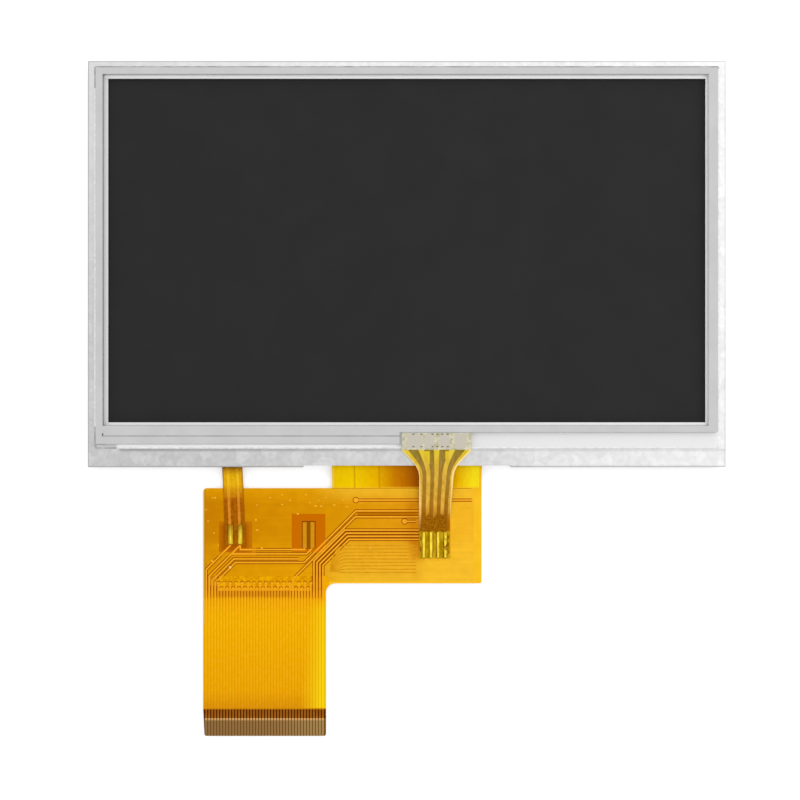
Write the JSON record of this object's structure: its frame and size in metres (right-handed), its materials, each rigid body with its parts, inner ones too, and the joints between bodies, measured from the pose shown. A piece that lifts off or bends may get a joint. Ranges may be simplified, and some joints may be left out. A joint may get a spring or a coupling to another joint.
{
  "type": "tft display module",
  "caption": "Flat colour display module in a folded steel bezel, with a resistive touch panel on its front and an L-shaped amber flexible circuit ending in a contact tail.",
  "frame": {"origin": "centre of the flat back face of the module's steel chassis", "axes": "+Z out of the touch face, +X to the right seen from the front, the flexible circuit leaves towards -Y"},
  "size_m": [0.1054, 0.1122, 0.0041],
  "materials": {
    "stainless_steel": "mill finish, softly mottled",
    "chassis_steel": "mill finish",
    "white_polycarbonate": "moulded, matt",
    "clear_acrylic": "polished",
    "white_film": "matt film",
    "prism_film": "fine ribbed film",
    "black_tape": "matt tape",
    "polarizer": "anti-glare film",
    "display_glass": "polished",
    "touch_glass": "polished",
    "touch_film": "hard coated film",
    "mounting_tape": "double-sided tape",
    "clear_adhesive": "clear adhesive",
    "foam": "closed cell foam",
    "silicon": "lapped silicon",
    "polyimide": "amber film",
    "clad_copper": "copper under amber cover film",
    "contact_plating": "thin gold plating",
    "solder": "soldered, flux coated",
    "silver_ink": "screen printed silver",
    "led_package": "moulded white",
    "ceramic_body": "sintered ceramic",
    "stiffener_film": "thick amber film"
  },
  "bodies": {
    "root": {"rear_chassis": "chassis_steel", "mould_frame": "white_polycarbonate", "reflector_sheet": "white_film", "light_guide_plate": "clear_acrylic", "diffuser_film": "white_film", "prism_film_lower": "prism_film", "prism_film_upper": "prism_film", "rim_tape": "black_tape", "backlight_leds": "led_package", "backlight_flex": "polyimide", "backlight_flex_traces": "clad_copper", "backlight_solder_joints": "solder", "lower_polarizer": "polarizer", "tft_glass": "display_glass", "colour_filter_glass": "display_glass", "upper_polarizer": "polarizer", "driver_chip": "silicon", "cushion_gasket": "foam", "front_bezel": "stainless_steel", "display_flex": "polyimide", "flex_ground_plane": "clad_copper", "flex_traces": "clad_copper", "contact_fingers": "contact_plating", "contact_stiffener": "stiffener_film", "flex_capacitors": "ceramic_body", "touch_mounting_tape": "mounting_tape", "touch_glass": "touch_glass", "touch_spacer_adhesive": "clear_adhesive", "touch_bus_bars": "silver_ink", "touch_film": "touch_film", "touch_flex": "polyimide", "touch_flex_traces": "clad_copper", "touch_solder_joints": "solder"}
  },
  "joints": []
}
